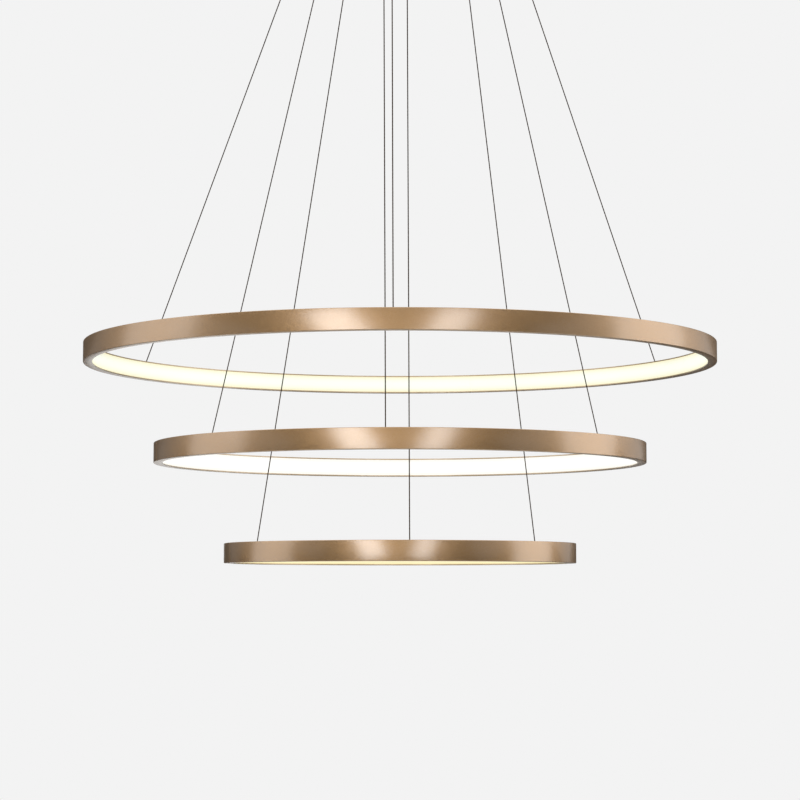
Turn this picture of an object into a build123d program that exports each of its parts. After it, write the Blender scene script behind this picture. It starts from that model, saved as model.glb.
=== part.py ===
from build123d import *
import os
from dataclasses import dataclass
from math import atan2, cos, degrees, radians, sin, sqrt, tan

# Ring chandelier for a ceiling: three level light rings, one below the other, each hung on
# three thin wires from a round canopy. All lengths are in millimetres.
# The origin is on the ceiling plane at the centre of the canopy, with +Z up, so the whole
# lamp lies below z = 0. The front of the lamp is at -Y and its right side is at +X.

# ---------------------------------------------------------------- driving dimensions

# Light rings
large_diameter = 900.0
medium_diameter = 700.0
small_diameter = 500.0
large_drop = 822.0          # ceiling to the underside of the large ring
medium_drop = 963.0
small_drop = 1104.0
large_seam = 75.0           # azimuth of the butt joint in the rolled channel, in degrees
medium_seam = 195.0
small_seam = 199.0

# Ring channel: a C section that is open towards the middle of the ring
channel_height = 28.0
channel_depth = 13.0
channel_back = 1.5          # outer wall
channel_side = 1.8          # top and bottom walls
channel_corner = 0.8        # outer edges
seam_gap = 0.3
catch_height = 0.6          # rib that the diffuser snaps behind
catch_width = 0.7
catch_setback = 1.9         # from the mouth of the channel
key_slot_width = 2.0        # slot in each outer corner, for the joint keys
key_rib_width = 0.6
key_rib_height = 1.2

# Diffuser strip
diffuser_face = 1.4
diffuser_recess = 0.3       # behind the mouth of the channel
diffuser_fit = 0.15
diffuser_foot = 1.0
diffuser_foot_length = 3.1
diffuser_barb = 0.45
diffuser_barb_length = 0.6

# Continuous light strip
strip_width = 10.0
strip_thickness = 0.5
strip_adhesive = 0.1        # bonding layer between the strip and the channel's outer wall
strip_end_gap = 2.0
phosphor_width = 4.0
phosphor_height = 0.9
phosphor_corner = 0.6

# Joint keys that bridge the seam, and their set screws
key_length = 50.0
key_height = 4.5
key_fit = 0.1
key_screw_radius = 1.0
key_screw_spacing = 30.0
key_screw_height = 3.2      # above the foot of the key
key_screw_fit = 0.05

# Suspension wires
wire_radius = 0.8
wire_inset = 7.5            # from the ring's outer face to the wire hole
wire_hole_radius = 1.6
wire_bend_radius = 8.0
wire_bend_margin = 0.9      # straight wire between the collet's tip and the bend
wire_tail = 13.0            # wire above the canopy floor
stop_radius = 1.7
stop_length = 4.0
stop_clearance = 0.3

# Turn of each wire hole about the axis, in degrees from its place at a third of the ring
large_wire_turns = {"right": -1.7, "left": 1.3, "front": -1.1}
medium_wire_turns = {"right": -2.0, "left": -2.0, "front": -3.1}
small_wire_turns = {"right": 4.1, "left": 0.8, "front": 3.0}

# Leads from the wires to the light strip
strip_lead_radius = 0.5
strip_lead_fall = 3.6
strip_lead_gap = 0.25

# Canopy
canopy_diameter = 340.0
canopy_height = 46.0
canopy_wall = 1.2
canopy_edge = 3.0           # rounded lower edge
large_gripper_circle = 139.4
medium_gripper_circle = 109.1
small_gripper_circle = 75.4
large_gripper_shift = 3.3   # from the canopy's centre to the gripper circle's, to the right
medium_gripper_shift = -1.9
small_gripper_shift = 11.8
large_gripper_turn = -6.2   # turn of each gripper circle about its centre, in degrees
medium_gripper_turn = -11.4
small_gripper_turn = -1.8

# Cable grippers, measured down from the underside of the canopy
barrel_radius = 6.5
barrel_length = 20.0
barrel_chamfer = 0.8
barrel_thread_depth = 4.0
barrel_cone_top = 13.0
barrel_cone_bottom = 16.0
chamber_radius = 3.6
throat_radius = 2.5
gripper_stud_radius = 4.9
gripper_stud_rise = 8.0     # above the underside of the canopy
gripper_stud_bore = 1.5
gripper_stud_chamfer = 0.4
thread_fit = 0.05
plate_hole_fit = 0.2

# Spring-loaded collet of a gripper
collet_fit = 0.2
collet_bore = 1.1
collet_top = 11.0           # below the canopy
collet_reach = 4.0          # below the barrel
collet_slot = 0.6
collet_slot_depth = 4.0
collet_tip_chamfer = 0.4

# Spring of a gripper
spring_wire_radius = 0.3
spring_radius = 2.8
spring_turns = 4.5
spring_end_gap = 0.1

# Nuts: width across flats and thickness
gripper_nut_flats = 14.0
gripper_nut_thickness = 4.0
small_nut_flats = 5.5
small_nut_thickness = 2.4
small_stud_radius = 1.5
small_stud_height = 6.5
small_stud_hole_radius = 1.7

# Light drivers
driver_length = 110.0
driver_width = 42.0
driver_height = 26.0
driver_corner = 3.0
driver_ear_length = 8.0
driver_ear_width = 16.0
driver_ear_thickness = 2.0
driver_circle = 105.0
driver_turn = 84.0          # azimuth of the large ring's driver, in degrees
driver_outlet_height = 18.0
driver_inlet_height = 15.0

# Terminal block
block_length = 32.0
block_width = 20.0
block_height = 14.0
block_foot_length = 50.0
block_foot_thickness = 2.0
block_stud_spacing = 41.0
block_pole_spacing = 10.0
block_pole_radius = 1.8
block_pole_depth = 4.0
block_outlet_circle = 8.0

# Leads inside the canopy
mains_lead_radius = 2.0
output_lead_radius = 1.0
lead_gap = 0.05
lead_rise = 9.0             # straight up out of a terminal or off a wire's end
mains_lead_crest = 12.0     # above the terminal block
mains_lead_crest_reach = 20.0
mains_lead_fall = 6.0       # above the terminal block, where the lead turns down
mains_lead_fall_reach = 30.0
mains_lead_entry = 13.0     # level run into the driver
output_lead_shift = 9.0     # outwards, past the wire's end
output_lead_climb = 1.0
output_lead_drift = 8.0     # along the driver, away from its end
output_lead_entry = 18.0    # level run into the driver
output_lead_bulge = 6.0
bend_share = 0.45           # of the shorter run beside a bend, taken up by the bend

# Ceiling bracket
bracket_width = 30.0
bracket_thickness = 2.0
bracket_tab_depth = 20.0
bracket_tab_gap = 0.3
slot_spacing = 140.0
slot_length = 26.0
slot_width = 5.5
cable_hole_radius = 8.0
earth_screw_place = 34.0    # from the middle of the bracket

# Screws of 4 mm that hold the canopy on the bracket, and the earth screw
screw_radius = 1.95
screw_thread_radius = 2.0
screw_hole_radius = 2.3
cover_screw_depth = 12.0    # below the ceiling
cover_screw_length = 7.0
cover_screw_head_radius = 4.5
cover_screw_head_height = 3.5
cover_screw_chamfer = 0.5
earth_screw_head_radius = 4.0
earth_screw_head_height = 2.4
earth_screw_recess = 0.2    # below the bracket's top face

# ---------------------------------------------------------------- places worked out from them

up = Vector(0, 0, 1)
canopy_radius = canopy_diameter / 2
canopy_underside = -canopy_height
canopy_floor = canopy_underside + canopy_wall
collet_tip = canopy_underside - barrel_length - collet_reach
wire_sides = {"right": 30.0, "left": 150.0, "front": 270.0}


def around(radius, azimuth, height=0.0):
    """A point at a radius and an azimuth about the lamp's axis."""
    angle = radians(azimuth)
    return Vector(radius * cos(angle), radius * sin(angle), height)


def radial_plane(azimuth):
    """The upright half plane at an azimuth, with local X outwards and local Y up."""
    outwards = around(1, azimuth)
    return Plane(origin=(0, 0, 0), x_dir=outwards, z_dir=outwards.cross(up))


@dataclass
class Ring:
    """One light ring, with the places of its three wires."""

    name: str
    diameter: float
    drop: float
    seam: float
    wire_turns: dict
    gripper_circle: float
    gripper_shift: float
    gripper_turn: float

    @property
    def radius(self):
        return self.diameter / 2

    @property
    def underside(self):
        return -self.drop

    @property
    def top(self):
        return self.underside + channel_height

    def gripper(self, side, height=0.0):
        """A point on the axis of one of the ring's grippers."""
        spot = around(self.gripper_circle, wire_sides[side] + self.gripper_turn, height)
        return spot + Vector(self.gripper_shift, 0, 0)

    def hole(self, side):
        """The middle of a wire hole, halfway through the channel's top wall."""
        azimuth = wire_sides[side] + self.wire_turns[side]
        return around(self.radius - wire_inset, azimuth, self.top - channel_side / 2)

    def bend(self, side):
        """The point under a gripper where its wire turns towards the ring."""
        run = self.hole(side) - self.gripper(side, collet_tip)
        turn = atan2(Vector(run.X, run.Y, 0).length, -run.Z)
        room = wire_bend_radius * tan(turn / 2) + wire_bend_margin
        return self.gripper(side, collet_tip - room)

    def wire_direction(self, side):
        """The unit vector down along a wire."""
        return (self.hole(side) - self.bend(side)).normalized()

    def stop(self, side):
        """The middle of the crimped stop's upper face, where the wire ends."""
        direction = self.wire_direction(side)
        lean = sqrt(1 - direction.Z**2)
        fall = channel_side / 2 + stop_clearance + stop_radius * lean
        return self.hole(side) + direction * (fall / -direction.Z)


rings = [
    Ring("large", large_diameter, large_drop, large_seam, large_wire_turns,
         large_gripper_circle, large_gripper_shift, large_gripper_turn),
    Ring("medium", medium_diameter, medium_drop, medium_seam, medium_wire_turns,
         medium_gripper_circle, medium_gripper_shift, medium_gripper_turn),
    Ring("small", small_diameter, small_drop, small_seam, small_wire_turns,
         small_gripper_circle, small_gripper_shift, small_gripper_turn),
]
gripper_points = [ring.gripper(side, canopy_underside) for ring in rings for side in wire_sides]


def save(builder, name):
    """Label a finished piece and write it."""
    builder.part.label = name
    export_step(builder.part, f"parts/{name}.step")


def arc_angle(length, radius):
    """The angle in degrees that a length takes up at a radius."""
    return degrees(length / radius)


# ---------------------------------------------------------------- light rings

def build_channel(ring):
    """Rolled channel with a butt joint, two snap ribs and two slots for the joint keys."""
    gap = arc_angle(seam_gap, ring.radius)
    mouth = ring.radius - channel_depth
    levels = {Align.MIN: ring.underside + channel_side, Align.MAX: ring.top - channel_side}
    with BuildPart() as channel:
        with BuildSketch(radial_plane(ring.seam + gap / 2)) as section:
            with Locations((ring.radius, ring.underside)):
                Rectangle(channel_depth, channel_height, align=(Align.MAX, Align.MIN))
            fillet(section.vertices().group_by(Axis.X)[-1], radius=channel_corner)
            with Locations((ring.radius - channel_back, levels[Align.MIN])):
                Rectangle(channel_depth, levels[Align.MAX] - levels[Align.MIN],
                          align=(Align.MAX, Align.MIN), mode=Mode.SUBTRACT)
            for side, level in levels.items():
                with Locations((mouth + catch_setback, level)):
                    Rectangle(catch_width, catch_height, align=(Align.MIN, side))
                with Locations((ring.radius - channel_back - key_slot_width, level)):
                    Rectangle(key_rib_width, key_rib_height, align=(Align.MAX, side))
        revolve(axis=Axis.Z, revolution_arc=360 - gap)
        with BuildSketch(Plane.XY.offset(ring.top)):
            with Locations(*[(ring.hole(side).X, ring.hole(side).Y) for side in wire_sides]):
                Circle(wire_hole_radius)
        extrude(amount=-channel_side, mode=Mode.SUBTRACT)
    return channel


def build_strip(ring):
    """Flexible light strip on the inside of the channel's outer wall."""
    seat = ring.radius - channel_back - strip_adhesive
    middle = ring.underside + channel_height / 2
    gap = arc_angle(strip_end_gap, seat)
    with BuildPart() as strip:
        with BuildSketch(radial_plane(ring.seam + gap / 2)) as section:
            with Locations((seat - strip_thickness, middle)):
                Rectangle(phosphor_height, phosphor_width, align=(Align.MAX, Align.CENTER))
            fillet(section.vertices().group_by(Axis.X)[0], radius=phosphor_corner)
            with Locations((seat, middle)):
                Rectangle(strip_thickness, strip_width, align=(Align.MAX, Align.CENTER))
        revolve(axis=Axis.Z, revolution_arc=360 - gap)
    return strip


def build_diffuser(ring):
    """Opal strip with two feet that snap behind the channel's ribs."""
    gap = arc_angle(seam_gap, ring.radius)
    face = ring.radius - channel_depth + diffuser_recess
    barb = ring.radius - channel_depth + catch_setback + catch_width + diffuser_fit
    low = ring.underside + channel_side + diffuser_fit
    high = ring.top - channel_side - diffuser_fit
    with BuildPart() as diffuser:
        with BuildSketch(radial_plane(ring.seam + gap / 2)):
            with Locations((face, low)):
                Rectangle(diffuser_face, high - low, align=Align.MIN)
            for edge, level, inwards in ((Align.MIN, low, 1), (Align.MAX, high, -1)):
                with Locations((face, level + inwards * catch_height)):
                    Rectangle(diffuser_foot_length, diffuser_foot, align=(Align.MIN, edge))
                with Locations((barb, level + inwards * (catch_height - diffuser_barb))):
                    Rectangle(diffuser_barb_length, diffuser_barb + diffuser_foot,
                              align=(Align.MIN, edge))
        revolve(axis=Axis.Z, revolution_arc=360 - gap)
    return diffuser


def key_screw_planes(ring):
    """Planes on the keys' inner face, one for each set screw, that look outwards."""
    bore = ring.radius - channel_back - key_fit - (key_slot_width - 2 * key_fit)
    lift = channel_side + key_fit + key_screw_height
    offset = arc_angle(key_screw_spacing / 2, bore)
    return [
        Plane(origin=around(bore, ring.seam + turn, height), z_dir=around(1, ring.seam + turn))
        for turn in (-offset, offset)
        for height in (ring.underside + lift, ring.top - lift)
    ]


def build_keys(ring):
    """Two joint keys that slide in the channel's corner slots across the seam."""
    thickness = key_slot_width - 2 * key_fit
    outer = ring.radius - channel_back - key_fit
    arc = arc_angle(key_length, outer)
    with BuildPart() as keys:
        with BuildSketch(radial_plane(ring.seam - arc / 2)):
            with Locations((outer, ring.underside + channel_side + key_fit)):
                Rectangle(thickness, key_height, align=(Align.MAX, Align.MIN))
            with Locations((outer, ring.top - channel_side - key_fit)):
                Rectangle(thickness, key_height, align=(Align.MAX, Align.MAX))
        revolve(axis=Axis.Z, revolution_arc=arc)
        for plane in key_screw_planes(ring):
            with BuildSketch(plane):
                Circle(key_screw_radius + key_screw_fit)
            extrude(amount=thickness, both=True, mode=Mode.SUBTRACT)
    return keys


def build_key_screws(ring):
    """Set screws that press the channel's outer wall away from the keys."""
    with BuildPart() as screws:
        for plane in key_screw_planes(ring):
            with BuildSketch(plane):
                Circle(key_screw_radius)
            extrude(amount=key_slot_width - 2 * key_fit)
    return screws


def build_stops(ring):
    """Crimped stops on the wire ends, under the channel's top wall."""
    with BuildPart() as stops:
        for side in wire_sides:
            with BuildSketch(Plane(origin=ring.stop(side), z_dir=ring.wire_direction(side))):
                Circle(stop_radius)
            extrude(amount=stop_length)
    return stops


def build_strip_leads(ring):
    """Two short leads from the stops of the live wires to the light strip."""
    pad = ring.radius - channel_back - strip_adhesive - strip_thickness - strip_lead_gap
    with BuildPart() as leads:
        for side in ("left", "front"):
            start = ring.stop(side) + ring.wire_direction(side) * (stop_length + strip_lead_gap)
            turn = start - up * strip_lead_fall
            outwards = Vector(turn.X, turn.Y, 0).normalized()
            end = Vector(outwards.X * pad, outwards.Y * pad, turn.Z)
            shorter = min(strip_lead_fall, (end - turn).length)
            with BuildLine() as route:
                FilletPolyline(start, turn, end, radius=corner_radius(start, turn, end, shorter))
            with BuildSketch(Plane(origin=route.line @ 0, z_dir=route.line % 0)):
                Circle(strip_lead_radius)
            sweep()
    return leads


# ---------------------------------------------------------------- wires and leads

def corner_radius(before, corner, after, shorter):
    """The largest arc that the two runs beside a corner leave room for."""
    turn = (corner - before).get_angle(after - corner)
    return bend_share * shorter / tan(radians(turn / 2))


def build_lead(points, radius):
    """A round lead along straight runs that are joined by tangent arcs."""
    corners = list(zip(points, points[1:], points[2:]))
    bends = [
        corner_radius(before, corner, after, min((corner - before).length, (after - corner).length))
        for before, corner, after in corners
    ]
    with BuildPart() as lead:
        with BuildLine() as route:
            FilletPolyline(*points, radius=bends)
        with BuildSketch(Plane(origin=route.line @ 0, z_dir=route.line % 0)):
            Circle(radius)
        sweep()
    print(f"lead of {route.wire().length:.0f} mm, bends {[round(bend, 1) for bend in bends]}")
    return lead


def build_wire(ring, side):
    """One wire, from its tail in the canopy, down through its gripper, to the ring."""
    tail = ring.gripper(side, canopy_floor + wire_tail)
    with BuildPart() as wire:
        with BuildLine() as route:
            FilletPolyline(tail, ring.bend(side), ring.stop(side), radius=wire_bend_radius)
        with BuildSketch(Plane(origin=tail, z_dir=-up)):
            Circle(wire_radius)
        sweep()
    print(f"{ring.name} wire {side}: {route.wire().length:.0f} mm")
    return wire


# ---------------------------------------------------------------- cable grippers

def build_barrel():
    """Gripper barrel, with the canopy's underside at z = 0."""
    with BuildPart() as barrel:
        with BuildSketch(Plane.XZ):
            with BuildLine():
                Polyline(
                    (gripper_stud_radius + thread_fit, 0),
                    (barrel_radius, 0),
                    (barrel_radius, barrel_chamfer - barrel_length),
                    (barrel_radius - barrel_chamfer, -barrel_length),
                    (throat_radius, -barrel_length),
                    (throat_radius, -barrel_cone_bottom),
                    (chamber_radius, -barrel_cone_top),
                    (chamber_radius, -barrel_thread_depth),
                    (gripper_stud_radius + thread_fit, -barrel_thread_depth),
                    close=True,
                )
            make_face()
        revolve(axis=Axis.Z)
    return barrel


def build_gripper_stud():
    """Threaded tube that screws into the barrel and clamps it to the canopy."""
    foot = thread_fit - barrel_thread_depth
    with BuildPart() as stud:
        with BuildSketch(Plane.XY.offset(foot)):
            Circle(gripper_stud_radius)
            Circle(gripper_stud_bore, mode=Mode.SUBTRACT)
        extrude(amount=gripper_stud_rise - foot)
        chamfer(stud.faces().sort_by(Axis.Z)[-1].outer_wire().edges(), length=gripper_stud_chamfer)
    return stud


def build_collet():
    """Collet with four jaws, which the spring pushes down into the barrel's cone."""
    head = chamber_radius - collet_fit
    nose = throat_radius - collet_fit
    tip = -barrel_length - collet_reach
    with BuildPart() as collet:
        with BuildSketch(Plane.XZ):
            with BuildLine():
                Polyline(
                    (collet_bore, -collet_top),
                    (head, -collet_top),
                    (head, -barrel_cone_top),
                    (nose, -barrel_cone_bottom),
                    (nose, tip + collet_tip_chamfer),
                    (nose - collet_tip_chamfer, tip),
                    (collet_bore, tip),
                    close=True,
                )
            make_face()
        revolve(axis=Axis.Z)
        with BuildSketch(Plane.XY.offset(-collet_top)):
            Rectangle(collet_slot, 2 * chamber_radius)
            Rectangle(2 * chamber_radius, collet_slot)
        extrude(amount=-collet_slot_depth, mode=Mode.SUBTRACT)
    return collet


def build_spring():
    """Compression spring between the stud's foot and the collet's jaws."""
    margin = spring_end_gap + spring_wire_radius
    low = margin - collet_top
    high = -barrel_thread_depth - margin
    with BuildPart() as spring:
        with BuildLine() as coil:
            Helix(pitch=(high - low) / spring_turns, height=high - low, radius=spring_radius,
                  center=(0, 0, low))
        with BuildSketch(Plane(origin=coil.line @ 0, z_dir=coil.line % 0)):
            Circle(spring_wire_radius)
        sweep(is_frenet=True)
    return spring


def build_nut(flats, thickness, bore):
    """Hexagon nut that stands on z = 0."""
    with BuildPart() as nut:
        with BuildSketch():
            RegularPolygon(radius=flats / 2, side_count=6, major_radius=False)
            Circle(bore, mode=Mode.SUBTRACT)
        extrude(amount=thickness)
    return nut


def repeat(piece, places):
    """Separate copies of a piece, one at each place."""
    with BuildPart() as group:
        with Locations(*places):
            add(piece.part)
    return group


# ---------------------------------------------------------------- canopy

def driver_plane(index):
    """The plane under a driver, on the canopy floor, with local X along the driver."""
    azimuth = driver_turn + index * 360 / len(rings)
    return Plane(origin=around(driver_circle, azimuth, canopy_floor),
                 x_dir=around(1, azimuth - 90), z_dir=up)


driver_planes = [driver_plane(index) for index in range(len(rings))]
driver_stud_offset = (driver_length + driver_ear_length) / 2
small_stud_points = [
    plane.from_local_coords(Vector(end * driver_stud_offset, 0, 0))
    for plane in driver_planes
    for end in (-1, 1)
] + [Vector(end * block_stud_spacing / 2, 0, canopy_floor) for end in (-1, 1)]


def cover_screw_plane(end):
    """The plane on the canopy's side that a cover screw's head bears on."""
    return Plane(origin=(end * canopy_radius, 0, -cover_screw_depth), z_dir=(end, 0, 0))


def build_cover():
    """Spun dish that is open towards the ceiling, with welded studs on its floor."""
    with BuildPart() as cover:
        with BuildSketch(Plane.XY.offset(canopy_underside)):
            Circle(canopy_radius)
        extrude(amount=canopy_height)
        fillet(cover.edges().filter_by(GeomType.CIRCLE).sort_by(Axis.Z)[0], radius=canopy_edge)
        offset(amount=-canopy_wall, openings=cover.faces().sort_by(Axis.Z)[-1])
        with BuildSketch(Plane.XY.offset(canopy_underside)):
            with Locations(*[(point.X, point.Y) for point in gripper_points]):
                Circle(gripper_stud_radius + plate_hole_fit)
        extrude(amount=canopy_wall, mode=Mode.SUBTRACT)
        with BuildSketch(Plane.XY.offset(canopy_floor)):
            with Locations(*[(point.X, point.Y) for point in small_stud_points]):
                Circle(small_stud_radius)
        extrude(amount=small_stud_height)
        for end in (-1, 1):
            with BuildSketch(cover_screw_plane(end)):
                Circle(screw_hole_radius)
            extrude(amount=-2 * canopy_wall, mode=Mode.SUBTRACT)
    return cover


def bracket_tab_face():
    """The distance from the axis to the flat outer face of a bracket tab."""
    inside = canopy_radius - canopy_wall
    return sqrt(inside**2 - (bracket_width / 2) ** 2) - bracket_tab_gap


def build_bracket():
    """Ceiling bar with a tab at each end, two slots for the ceiling screws and a cable hole."""
    face = bracket_tab_face()
    with BuildPart() as bracket:
        with BuildSketch():
            Rectangle(2 * face, bracket_width)
        extrude(amount=-bracket_thickness)
        with BuildSketch(Plane.XY.offset(-bracket_thickness)):
            with Locations((-face, 0)):
                Rectangle(bracket_thickness, bracket_width, align=(Align.MIN, Align.CENTER))
            with Locations((face, 0)):
                Rectangle(bracket_thickness, bracket_width, align=(Align.MAX, Align.CENTER))
        extrude(amount=bracket_thickness - bracket_tab_depth)
        with BuildSketch():
            with Locations((-slot_spacing / 2, 0), (slot_spacing / 2, 0)):
                SlotOverall(slot_length, slot_width)
            Circle(cable_hole_radius)
            with Locations((earth_screw_place, 0)):
                Circle(screw_thread_radius)
        extrude(amount=-bracket_thickness, mode=Mode.SUBTRACT)
        for end in (-1, 1):
            with BuildSketch(Plane(origin=(end * face, 0, -cover_screw_depth), z_dir=(end, 0, 0))):
                Circle(screw_thread_radius)
            extrude(amount=-bracket_thickness, mode=Mode.SUBTRACT)
    return bracket


def build_cover_screws():
    """Two thumb screws that hold the canopy on the bracket's tabs."""
    with BuildPart() as screws:
        for end in (-1, 1):
            with BuildSketch(cover_screw_plane(end)):
                Circle(cover_screw_head_radius)
            extrude(amount=cover_screw_head_height)
            with BuildSketch(cover_screw_plane(end)):
                Circle(screw_radius)
            extrude(amount=-cover_screw_length)
        heads = screws.faces().sort_by(Axis.X)
        chamfer(heads[0].edges() + heads[-1].edges(), length=cover_screw_chamfer)
    return screws


def build_earth_screw():
    """Screw for the earth conductor, upwards into the bracket."""
    with BuildPart() as screw:
        with BuildSketch(Plane.XY.offset(-bracket_thickness)):
            with Locations((earth_screw_place, 0)):
                Circle(screw_radius)
        extrude(amount=bracket_thickness - earth_screw_recess)
        with BuildSketch(Plane.XY.offset(-bracket_thickness)):
            with Locations((earth_screw_place, 0)):
                Circle(earth_screw_head_radius)
        extrude(amount=-earth_screw_head_height)
    return screw


def build_drivers():
    """Three constant-current drivers, one for each ring, with an ear at each end."""
    with BuildPart() as drivers:
        for plane in driver_planes:
            with BuildSketch(plane) as outline:
                Rectangle(driver_length, driver_width)
                fillet(outline.vertices(), radius=driver_corner)
            extrude(amount=driver_height)
            with BuildSketch(plane):
                Rectangle(driver_length + 2 * driver_ear_length, driver_ear_width)
            extrude(amount=driver_ear_thickness)
            with BuildSketch(plane):
                with Locations((-driver_stud_offset, 0), (driver_stud_offset, 0)):
                    Circle(small_stud_hole_radius)
            extrude(amount=driver_ear_thickness, mode=Mode.SUBTRACT)
    return drivers


def build_terminal_block():
    """Three-pole terminal block for the supply, on a foot with two fixing holes."""
    with BuildPart() as block:
        with BuildSketch(Plane.XY.offset(canopy_floor)):
            Rectangle(block_length, block_width)
        extrude(amount=block_height)
        with BuildSketch(Plane.XY.offset(canopy_floor)):
            Rectangle(block_foot_length, block_width)
        extrude(amount=block_foot_thickness)
        with BuildSketch(Plane.XY.offset(canopy_floor)):
            with Locations((-block_stud_spacing / 2, 0), (block_stud_spacing / 2, 0)):
                Circle(small_stud_hole_radius)
        extrude(amount=block_foot_thickness, mode=Mode.SUBTRACT)
        with BuildSketch(Plane.XY.offset(canopy_floor + block_height)):
            with GridLocations(block_pole_spacing, 0, len(rings), 1):
                Circle(block_pole_radius)
        extrude(amount=-block_pole_depth, mode=Mode.SUBTRACT)
    return block


def mains_lead_points(plane):
    """From the top of the terminal block, over to the inner side of a driver."""
    inwards = Vector(-plane.origin.X, -plane.origin.Y, 0).normalized()
    top = canopy_floor + block_height + lead_gap
    inlet = canopy_floor + driver_inlet_height
    side = driver_circle - driver_width / 2 - lead_gap
    stations = [
        (block_outlet_circle, top),
        (block_outlet_circle, top + lead_rise),
        (block_outlet_circle + mains_lead_crest_reach, top + mains_lead_crest),
        (side - mains_lead_fall_reach, top + mains_lead_fall),
        (side - mains_lead_entry, inlet),
        (side, inlet),
    ]
    return [inwards * -distance + up * height for distance, height in stations]


def output_lead_points(plane, end, wire_top):
    """From the end of a driver to the top of a live wire."""
    outlet = Vector(end * (driver_length / 2 + lead_gap), 0, driver_outlet_height)
    start = plane.to_local_coords(wire_top)
    sideways = Vector(end, 0, 0)
    rise = start + up * lead_rise
    over = rise + Vector(0, output_lead_shift, output_lead_climb) + sideways * output_lead_drift
    near = outlet + sideways * output_lead_entry
    middle = (over + near) * 0.5 + sideways * output_lead_bulge
    local_points = [start, rise, over, middle, near, outlet]
    return [plane.from_local_coords(point) for point in local_points]


def build_driver_leads():
    """Mains leads into the drivers, and output leads from them to the live wires."""
    ends = {"large": {1: "right", -1: "left"}, "medium": {1: "left", -1: "front"},
            "small": {1: "front", -1: "right"}}
    with BuildPart() as leads:
        for ring, plane in zip(rings, driver_planes):
            add(build_lead(mains_lead_points(plane), mains_lead_radius).part)
            for end, side in ends[ring.name].items():
                wire_top = ring.gripper(side, canopy_floor + wire_tail + lead_gap)
                points = output_lead_points(plane, end, wire_top)
                add(build_lead(points, output_lead_radius).part)
    return leads


# ---------------------------------------------------------------- write the pieces

os.makedirs("parts", exist_ok=True)

for ring in rings:
    save(build_channel(ring), f"{ring.name}_ring_channel")
    save(build_strip(ring), f"{ring.name}_led_strip")
    save(build_diffuser(ring), f"{ring.name}_diffuser")
    save(build_keys(ring), f"{ring.name}_joint_keys")
    save(build_key_screws(ring), f"{ring.name}_joint_screws")
    save(build_stops(ring), f"{ring.name}_wire_stops")
    save(build_strip_leads(ring), f"{ring.name}_strip_leads")

collet = build_collet()
spring = build_spring()
for ring in rings:
    for side in wire_sides:
        place = [ring.gripper(side, canopy_underside)]
        save(build_wire(ring, side), f"{ring.name}_wire_{side}")
        save(repeat(collet, place), f"{ring.name}_collet_{side}")
        save(repeat(spring, place), f"{ring.name}_spring_{side}")

gripper_nut = build_nut(gripper_nut_flats, gripper_nut_thickness, gripper_stud_radius + thread_fit)
small_nut = build_nut(small_nut_flats, small_nut_thickness, small_stud_radius + thread_fit)
nut_lifts = [driver_ear_thickness] * (2 * len(rings)) + [block_foot_thickness] * 2
small_nut_places = [point + up * lift for point, lift in zip(small_stud_points, nut_lifts)]
save(repeat(build_barrel(), gripper_points), "gripper_barrels")
save(repeat(build_gripper_stud(), gripper_points), "gripper_studs")
save(repeat(gripper_nut, [point + up * canopy_wall for point in gripper_points]), "gripper_nuts")
save(build_cover(), "canopy_cover")
save(build_bracket(), "ceiling_bracket")
save(build_cover_screws(), "cover_screws")
save(build_earth_screw(), "earth_screw")
save(build_drivers(), "led_drivers")
save(build_terminal_block(), "terminal_block")
save(repeat(small_nut, small_nut_places), "small_nuts")
save(build_driver_leads(), "driver_leads")
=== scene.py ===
"""Ring chandelier with three light rings: its looks, in metres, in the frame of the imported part.

The origin is on the ceiling plane at the canopy's centre, +Z is up, the front is at -Y.
"""
from dataclasses import dataclass
from math import atan2, ceil, cos, hypot, pi, radians, sin, sqrt, tan

import bmesh
import bpy
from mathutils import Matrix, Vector


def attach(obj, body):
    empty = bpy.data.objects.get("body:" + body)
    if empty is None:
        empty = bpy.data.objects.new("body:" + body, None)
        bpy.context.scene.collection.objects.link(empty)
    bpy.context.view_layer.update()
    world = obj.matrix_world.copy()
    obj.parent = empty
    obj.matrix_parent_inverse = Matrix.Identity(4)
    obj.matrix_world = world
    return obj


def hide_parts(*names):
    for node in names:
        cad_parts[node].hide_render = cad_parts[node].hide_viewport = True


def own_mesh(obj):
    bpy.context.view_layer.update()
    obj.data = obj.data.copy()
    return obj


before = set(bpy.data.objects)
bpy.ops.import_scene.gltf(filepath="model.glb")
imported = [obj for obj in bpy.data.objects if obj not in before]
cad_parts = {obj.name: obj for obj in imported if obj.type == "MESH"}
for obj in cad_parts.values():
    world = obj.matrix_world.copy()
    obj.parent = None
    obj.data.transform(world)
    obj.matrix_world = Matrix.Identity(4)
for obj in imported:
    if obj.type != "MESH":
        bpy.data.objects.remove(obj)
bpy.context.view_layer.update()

# ------------------------ sizes, as in the CAD model

channel_height = 0.028
channel_depth = 0.013
channel_back = 0.0015
channel_side = 0.0018
channel_corner = 0.0008
lip_corner = 0.0006
seam_gap = 0.0003
seam_chamfer = 0.0005
catch_height = 0.0006
catch_width = 0.0007
catch_setback = 0.0019
wire_inset = 0.0075
wire_hole_radius = 0.0016

diffuser_face = 0.0014
diffuser_recess = 0.0003
diffuser_fit = 0.00015
diffuser_foot = 0.001
diffuser_foot_length = 0.0031
diffuser_corner = 0.0003
diffuser_crown = 0.00012

wire_radius = 0.0008
wire_bend_radius = 0.008
wire_bend_margin = 0.0009
wire_tail = 0.013
wire_first_run = 0.010      # from the bend to the next point of a wire's route
wire_lay = 0.012            # length of one turn of the strands
wire_strands = 6
wire_groove = 0.00007
wire_step = 0.0015
stop_radius = 0.0017
stop_clearance = 0.0003

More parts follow.
